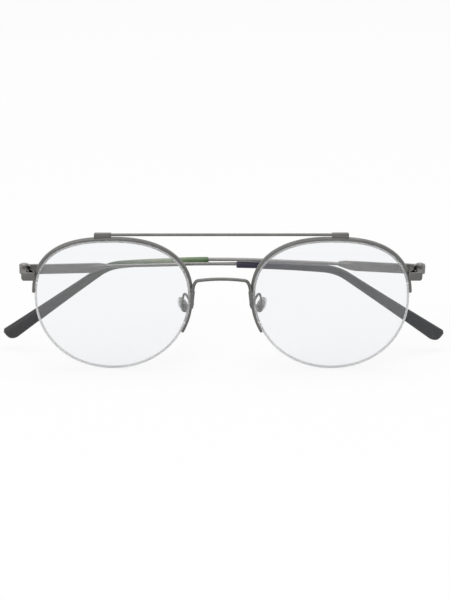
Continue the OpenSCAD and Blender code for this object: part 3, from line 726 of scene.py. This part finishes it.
def add_knuckle(bm, bottom, bore, foot_from, foot_to):
    """A ring with a hole for the screw, and the foot that carries it."""
    turn = bmesh.new()
    ring = [turn.verts.new((x, 0, z)) for x, z in (
        (bore / 2, 0), (knuckle_radius, 0), (knuckle_radius, knuckle_height), (bore / 2, knuckle_height))]
    turn.faces.new(ring)
    bmesh.ops.bevel(turn, geom=ring[1:3], offset=knuckle_round, segments=3, profile=0.5,
                    affect="VERTICES", material=-1)
    bmesh.ops.spin(turn, geom=turn.verts[:] + turn.edges[:] + turn.faces[:], cent=(0, 0, 0), axis=(0, 0, 1),
                   angle=2 * pi, steps=40, use_merge=True, use_normal_flip=False, use_duplicate=False)
    bmesh.ops.remove_doubles(turn, verts=turn.verts, dist=1e-4)
    bmesh.ops.translate(turn, verts=turn.verts, vec=(0, 0, bottom))
    add_box(turn, (-foot_half, foot_from, bottom + play),
            (foot_half, foot_to, bottom + knuckle_height - play))
    return join(bm, turn)


def make_front_hinge():
    bm = bmesh.new()
    leaf_front = endpiece_front + endpiece_thickness - hinge_depth
    for bottom in (hinge_bottom, hinge_bottom + 2 * (knuckle_height + hinge_play)):
        add_knuckle(bm, bottom, front_bore, leg_back - hinge_depth, -foot_depth)
        add_box(bm, (-leaf_reach, leaf_front, bottom), (leaf_thickness - leaf_reach, 0,
                                                        bottom + knuckle_height), leaf_round)
    add_box(bm, (-leaf_reach, leaf_front, hinge_bottom), (leaf_thickness - leaf_reach, leg_back - hinge_depth,
                                                          hinge_bottom + barrel_height), leaf_round)
    bmesh.ops.translate(bm, verts=bm.verts, vec=(hinge_x, hinge_depth, 0))
    return bm


pair(make_front_hinge, "front_hinge", [blade_metal])

# %% Hinge screw
head_diameter, head_height, head_round, shaft_overrun = 2.0, 0.3, 0.1, 0.02
slot_width, slot_depth, slot_margin = 0.3, 0.15, 0.03


def make_hinge_screw():
    bm = bmesh.new()
    head = add_cylinder(bm, head_diameter / 2, barrel_height, barrel_height + head_height)
    upper = [e for e in bm.edges if all(v.co.z > barrel_height + head_height / 2 for v in e.verts)]
    bmesh.ops.bevel(bm, geom=upper, offset=head_round, segments=3, profile=0.5, affect="EDGES", material=-1)
    for y in (-slot_width / 2, slot_width / 2):
        bmesh.ops.bisect_plane(bm, geom=bm.verts[:] + bm.edges[:] + bm.faces[:],
                               plane_co=(0, y, 0), plane_no=(0, 1, 0))
    strip = [f for f in bm.faces if f.normal.z > 0.99 and abs(f.calc_center_median().y) < slot_width / 2]
    bmesh.ops.inset_individual(bm, faces=strip, thickness=slot_margin, depth=-slot_depth)
    add_cylinder(bm, screw_diameter / 2, 0, barrel_height + shaft_overrun)
    bmesh.ops.translate(bm, verts=bm.verts, vec=(hinge_x, hinge_depth, hinge_bottom))
    return bm


pair(make_hinge_screw, "hinge_screw", [screw_steel])

# %% [markdown]
# ## Temples
# A folded temple lies behind the front, turned by 4.3 or 5 degrees. It is a flat blade by the
# hinge, then a thin springy wire, then a plastic sleeve that droops a little and bends down behind
# the ear. The right one rides over the left one, so its wire is lifted.

# %% Line of a temple
temple_length, tip_length, blade_length = 141.6, 45.4, 26.2
blade_height, wire_diameter, tip_drop, droop = 3.1, 1.1, radians(34.9), radians(5.3)
sleeve_past_middle, droop_before_middle, temple_rise = 4.95, 12.4, -0.375
sleeve_start, droop_start = hinge_x + sleeve_past_middle, hinge_x - droop_before_middle
droop_end, bend_length = temple_length - tip_length, 8.2
bend_end = droop_end + bend_length
temple_middle, wire_depth, wire_rise = endpiece_middle + temple_rise, blade_face + blade_thickness / 2, 0.49
LIFTS = {LEFT: 0.08, RIGHT: 1.35}
FOLDS = {LEFT: radians(4.3), RIGHT: radians(5.0)}


def slope(s):
    """How steeply the temple runs down at a distance from the hinge."""
    if s < droop_start:
        return 0.0
    if s < droop_end:
        return droop * (s - droop_start) / (droop_end - droop_start)
    return droop + (tip_drop - droop) * min((s - droop_end) / bend_length, 1)


def arc(radius, start, end):
    return Vector((sin(end) - sin(start), cos(end) - cos(start))) * radius


def temple_line(s):
    """Distance from the hinge along X, and height, of the middle of the temple."""
    point = Vector((min(s, droop_start), 0))
    if s > droop_start:
        point += arc((droop_end - droop_start) / droop, 0, slope(min(s, droop_end)))
    if s > droop_end:
        point += arc(bend_length / (tip_drop - droop), droop, slope(min(s, bend_end)))
    if s > bend_end:
        point += (s - bend_end) * Vector((cos(tip_drop), -sin(tip_drop)))
    return point


def temple_point(s, lift):
    x, z = temple_line(s)
    return Vector((x, wire_depth, temple_middle + wire_rise + z + lift * sin(pi * s / temple_length)))


def lift_slope(s, lift):
    return atan(lift * pi / temple_length * cos(pi * s / temple_length))


def finish_temple_piece(bm, side, part, finish, sharp=38):
    """Puts a piece made along X from the hinge pin in its folded place, and finishes it."""
    bmesh.ops.transform(bm, verts=bm.verts, matrix=Matrix.Translation((hinge_x, hinge_depth, 0))
                        @ Matrix.Scale(-1, 4, (1, 0, 0)) @ Matrix.Rotation(FOLDS[side], 4, "Z"))
    word = SIDE_NAMES[side]
    finish_piece(bm, part + "_" + word + "_made", "temple_" + word, [finish],
                 [part + "_" + word], side, sharp)


print("temple reaches", [round(v, 2) for v in temple_line(temple_length)])

# %% [markdown]
# The blade is a flat strip with softened edges. At its end it narrows to the wire, more from below
# than from above, and a short swelling takes the end of the wire. Its butt end is rounded.

# %% Blade
butt_length, top_taper, low_taper, blade_tip_height, socket_length = 1.6, 2.2, 4.6, 1.4, 5.2
butt_round, low_taper_round, top_taper_round, tip_round, face_round = 0.5, 1.2, 0.8, 0.3, 0.12
socket_wall, socket_start_share, socket_swell = 0.2, 0.6, 2.5
socket_mouth, socket_mouth_share = 0.9, 0.18


def make_blade():
    h, tip = blade_height / 2, blade_tip_height / 2
    bm = shaped_bar([(-butt_length, -h, butt_round), (blade_length - low_taper, -h, low_taper_round),
                     (blade_length, wire_rise - tip, tip_round), (blade_length, wire_rise + tip, tip_round),
                     (blade_length - top_taper, h, top_taper_round), (-butt_length, h, butt_round)],
                    [0, blade_thickness])
    soften_ends(bm, face_round, 0, blade_thickness)
    return bend(bm, lambda y, x, z: Vector((x, y + blade_face, z)))


def make_socket():
    """The swelling round the wire's end, as part of the blade."""
    start = blade_length - socket_length

    def place(k, x, y):
        swell = sin(pi / 2 * min(k * socket_swell, 1))
        radius = (wire_diameter / 2 + socket_wall) * (socket_start_share + (1 - socket_start_share) * swell)
        if k > socket_mouth:
            radius *= 1 - socket_mouth_share * ((k - socket_mouth) / (1 - socket_mouth)) ** 2
        return Vector((start + k * (blade_length - start), wire_depth + radius * x, wire_rise + radius * y))

    return bend(round_bar(steps(0, 1, 20), 28), place)


for side, lift in LIFTS.items():
    bm = join(make_blade(), make_socket())
    bmesh.ops.transform(bm, verts=bm.verts, matrix=Matrix.Translation((0, 0, temple_middle))
                        @ Matrix.Rotation(-lift_slope(0, lift), 4, "Y"))
    finish_temple_piece(bm, side, "temple_blade", blade_metal)
print("blades made")

# %% Temple half of the hinge
plate_back, plate_length, plate_height = 0.9, 4.1, 2.6
for side in SIDE_NAMES:
    bm = bmesh.new()
    add_knuckle(bm, hinge_bottom + knuckle_height + hinge_play, temple_bore, foot_depth,
                blade_face - plate_thickness)
    add_box(bm, (-plate_back, blade_face - plate_thickness, temple_middle - plate_height / 2),
            (plate_length - plate_back, blade_face, temple_middle + plate_height / 2), leaf_round)
    finish_temple_piece(bm, side, "temple_hinge", blade_metal)
print("temple hinges made")

# %% [markdown]
# The springy wire starts inside the blade and runs on as the core of the sleeve. The sleeve's
# section is a rounded oblong that grows from 2.1 to 4.9 mm in height, faster towards the end. Its
# end is blunt: a small curve above and a long one below.

# %% Wires
wire_in_socket, wire_end_margin = 4.2, 12
wire_start, wire_end = blade_length - wire_in_socket, temple_length - wire_end_margin
for side, lift in LIFTS.items():
    path = [temple_point(s, lift) for s in steps(wire_start, wire_end, 160)]
    finish_temple_piece(wire(path, Vector((0, 1, 0)), wire_diameter / 2, 20), side, "temple_wire",
                        bare_metal)
print("wires made")

# %% Sleeves
sleeve_length, sleeve_nose, nose_share, sleeve_drop = temple_length - sleeve_start, 0.4, 0.86, 0.25
start_height, tip_height, growth_power = 2.1, 4.9, 2.15
start_thickness, tip_thickness, section_power = 1.7, 2.3, 2.6
low_round, top_round, top_last, side_round, side_last, low_last = 3.2, 0.8, 0.75, 1.0, 0.4, 0.02


def end_share(s, length, last):
    """How much of the section is left near the rounded end."""
    k = max(s - temple_length + length, 0) / length
    return max(sqrt(max(1 - k * k, 0)), last)


def sleeve_section(s):
    """Top, bottom and half thickness of the sleeve round its wire."""
    share = (s - sleeve_start) / sleeve_length
    half = (start_height + (tip_height - start_height) * share ** growth_power) / 2
    wide = (start_thickness + (tip_thickness - start_thickness) * share) / 2
    nose = 1.0
    if s < sleeve_start + sleeve_nose:
        nose = nose_share + (1 - nose_share) * sqrt((s - sleeve_start) / sleeve_nose)
    top = half * nose * end_share(s, top_round, top_last)
    low = -half * nose * end_share(s, low_round, low_last)
    return top, low, wide * nose * end_share(s, side_round, side_last)


def make_sleeve_tube(lift):
    near = [sleeve_start + sleeve_nose * (i / 6) ** 2 for i in range(6)]
    body = steps(sleeve_start + sleeve_nose, temple_length - low_round, 110)
    far = [temple_length - low_round * (1 - sin(radians(90 * i / 16))) for i in range(1, 17)]

    def place(s, x, y):
        top, low, wide = sleeve_section(s)
        power = 2 / section_power
        across = copysign(abs(x) ** power, x) * wide
        tall = (top + low) / 2 - sleeve_drop + copysign(abs(y) ** power, y) * (top - low) / 2
        lean = slope(s) - lift_slope(s, lift)
        return temple_point(s, lift) + Vector((tall * sin(lean), across, tall * cos(lean)))

    return bend(round_bar(near + body + far, 40), place)


finish_temple_piece(make_sleeve_tube(LIFTS[LEFT]), LEFT, "temple_tip", sleeve_navy, 50)
finish_temple_piece(make_sleeve_tube(LIFTS[RIGHT]), RIGHT, "temple_tip", sleeve_green, 50)
print("sleeves made")

# %% [markdown]
# ## Nose pads
# Each pad is a small clear pillow with a metal core inside. The core's tab is held by a screw in a
# little box, and the box sits on a wire arm that leaves the back of the rim and loops over.

# %% Place of a pad
pad_height, pad_width, pad_thickness, pad_face_gap, pad_crown = 5.4, 5.0, 1.4, 0.45, 0.25
pad_outwards, pad_behind_lens, pad_level, pad_splay, pad_lean = 1.95, 4.7, -2.8, radians(40), radians(12)
pad_pivot = Vector((nose_edge_x + pad_outwards, edge_depth + lens_thickness + pad_behind_lens, pad_level))
pad_matrix = (Matrix.Translation(pad_pivot) @ Matrix.Rotation(-pad_splay, 4, "Z")
              @ Matrix.Rotation(pad_lean, 4, "Y"))
pad_shift_width, pad_shift_down = 2.7, 0.2
pad_shift = Vector((-pad_face_gap - pad_thickness / 2, pad_shift_width, -pad_shift_down))


def at_pad(bm):
    bmesh.ops.transform(bm, verts=bm.verts, matrix=pad_matrix)
    return bm


def make_pad():
    bm = bmesh.new()
    bmesh.ops.create_uvsphere(bm, u_segments=48, v_segments=28, radius=1)
    for vert in bm.verts:
        x, y, z = vert.co
        full = 1 - pad_crown * (y * y + z * z)
        vert.co = pad_shift + Vector((x * pad_thickness / 2 * full / (1 - pad_crown * (1 - x * x)),
                                      y * pad_width / 2, z * pad_height / 2))
    return at_pad(bm)


pair(make_pad, "nose_pad", [clear_pad], body="pad", sharp=80)

# %% Cores, boxes and screws
core_size, core_thickness, tab_thickness, tab_radius = (2.6, 3.6), 0.4, 0.4, 0.65
cheek_inside, cheek_outside, box_half_height, box_reach = 0.25, 0.65, 1.1, 1.15
box_front, box_back_wall, box_round, stem_half = 0.2, 0.3, 0.08, 0.5
pad_screw_radius, pad_head_radius, pad_head_height = 0.3, 0.45, 0.25


def make_core():
    bm = bmesh.new()
    plate = add_cylinder(bm, 0.5, -core_thickness / 2, core_thickness / 2, "Y")
    bmesh.ops.scale(bm, verts=plate, vec=(1, *core_size))
    bmesh.ops.translate(bm, verts=plate, vec=pad_shift)
    middle, slim = pad_shift.x, core_thickness / 2 - play
    add_box(bm, (middle, -tab_thickness / 2, -stem_half), (0, tab_thickness / 2, stem_half))
    add_box(bm, (middle - slim, -tab_thickness / 2, -stem_half), (middle + slim, pad_shift.y, stem_half))
    add_cylinder(bm, tab_radius, -tab_thickness / 2, tab_thickness / 2, "X")
    return at_pad(bm)


def make_box():
    bm = bmesh.new()
    for low, high in ((cheek_inside, cheek_outside), (-cheek_outside, -cheek_inside)):
        add_box(bm, (-box_front, low, -box_half_height), (box_reach, high, box_half_height), box_round)
    add_box(bm, (box_reach - box_back_wall, -cheek_outside, -box_half_height),
            (box_reach, cheek_outside, box_half_height), box_round)
    return at_pad(bm)


def make_pad_screw():
    bm = bmesh.new()
    add_cylinder(bm, pad_screw_radius, -cheek_outside, cheek_outside, "X")
    add_cylinder(bm, pad_head_radius, cheek_outside, cheek_outside + pad_head_height, "X")
    return at_pad(bm)


pair(make_core, "pad_core", [pad_metal], body="pad")
pair(make_box, "pad_box", [arm_metal])
pair(make_pad_screw, "pad_screw", [screw_steel])

# %% Pad arms
arm_diameter, arm_sink, arm_end_margin = 0.8, 0.25, (0.15, 0.1)
arm_root = Vector((nose_edge_x - 0.45, edge_depth + lens_thickness - arm_sink, -1.6))
arm_out, arm_over = arm_root + Vector((1.8, 4.2, 3.4)), pad_pivot + Vector((0.6, -0.9, 7.4))


def make_arm():
    end = pad_matrix @ Vector((box_reach - arm_end_margin[0], 0, box_half_height - arm_end_margin[1]))
    path = [(1 - k) ** 3 * arm_root + 3 * k * (1 - k) ** 2 * arm_out + 3 * k * k * (1 - k) * arm_over
            + k ** 3 * end for k in steps(0, 1, 40)]
    return wire(path, Vector((1, 0, 1)).normalized(), arm_diameter / 2, 20)


pair(make_arm, "pad_arm", [arm_metal])

# %% [markdown]
# ## Studio
# A white room: the sky is white to the camera, to reflections and through the lenses, and gentler
# as a lamp. Two large soft lamps shine from above and from the front. The floor is pale; near the
# glasses it takes a faint shadow, and further away it is plain white.

# %% Light that is looked at
def looked_at(tree):
    """1 for a ray from the camera, a reflection or a see-through piece, and 0 for light itself."""
    path = tree.nodes.new("ShaderNodeLightPath")
    total = path.outputs["Is Camera Ray"]
    for kind in ("Is Glossy Ray", "Is Transmission Ray"):
        add = tree.nodes.new("ShaderNodeMath")
        add.operation = "ADD"
        add.use_clamp = True
        tree.links.new(total, add.inputs[0])
        tree.links.new(path.outputs[kind], add.inputs[1])
        total = add.outputs[0]
    return total


def mix_shaders(tree, share, first, second, output):
    mix = tree.nodes.new("ShaderNodeMixShader")
    for socket, value in zip(mix.inputs, (share, first, second)):
        tree.links.new(value, socket)
    tree.links.new(mix.outputs[0], output.inputs["Surface"])


# %% Floor
FLOOR_COLOUR, FLOOR_WHITE_SHARE, FLOOR_DROP = (0.86, 0.86, 0.86, 1), 0.82, 0.0001
floor_finish = bpy.data.materials.new("pale_floor")
floor_finish.use_nodes = True
tree = floor_finish.node_tree
tree.nodes.clear()
plain = tree.nodes.new("ShaderNodeBsdfDiffuse")
plain.inputs["Color"].default_value = FLOOR_COLOUR
white = tree.nodes.new("ShaderNodeEmission")
share = tree.nodes.new("ShaderNodeMath")
share.operation = "MULTIPLY"
share.inputs[1].default_value = FLOOR_WHITE_SHARE
tree.links.new(looked_at(tree), share.inputs[0])
mix_shaders(tree, share.outputs[0], plain.outputs[0], white.outputs[0],
            tree.nodes.new("ShaderNodeOutputMaterial"))
FLOOR_SIZE = 8.0
bm = bmesh.new()
bmesh.ops.create_grid(bm, x_segments=1, y_segments=1, size=FLOOR_SIZE / 2)
bmesh.ops.translate(bm, verts=bm.verts, vec=(0, 0, cad_box[0].z - FLOOR_DROP))
mesh = bpy.data.meshes.new("floor")
bm.to_mesh(mesh)
bm.free()
mesh.materials.append(floor_finish)
floor_piece = bpy.data.objects.new("floor", mesh)
bpy.context.scene.collection.objects.link(floor_piece)

# %% Sky and lamps
SKY_STRENGTH = 0.62
world = bpy.data.worlds.new("studio")
bpy.context.scene.world = world
world.use_nodes = True
tree = world.node_tree
tree.nodes.clear()
seen_white, gentle = (tree.nodes.new("ShaderNodeBackground") for _ in range(2))
for background in (seen_white, gentle):
    background.inputs["Color"].default_value = (1, 1, 1, 1)
gentle.inputs["Strength"].default_value = SKY_STRENGTH
mix_shaders(tree, looked_at(tree), gentle.outputs[0], seen_white.outputs[0],
            tree.nodes.new("ShaderNodeOutputWorld"))


def add_lamp(name, place, size, power):
    lamp = bpy.data.objects.new(name, bpy.data.lights.new(name, "AREA"))
    lamp.data.shape = "SQUARE"
    lamp.data.size, lamp.data.energy = size, power
    lamp.location = place
    lamp.rotation_mode = "QUATERNION"
    lamp.rotation_quaternion = Vector(place).to_track_quat("Z", "Y")
    bpy.context.scene.collection.objects.link(lamp)


add_lamp("top_lamp", (0.1, 0.1, 1.2), 1.0, 7.0)
add_lamp("front_lamp", (-0.5, -1.0, 0.7), 0.8, 4.5)
bpy.context.scene.view_settings.view_transform = "Standard"
print("studio made")

# %% Sizes
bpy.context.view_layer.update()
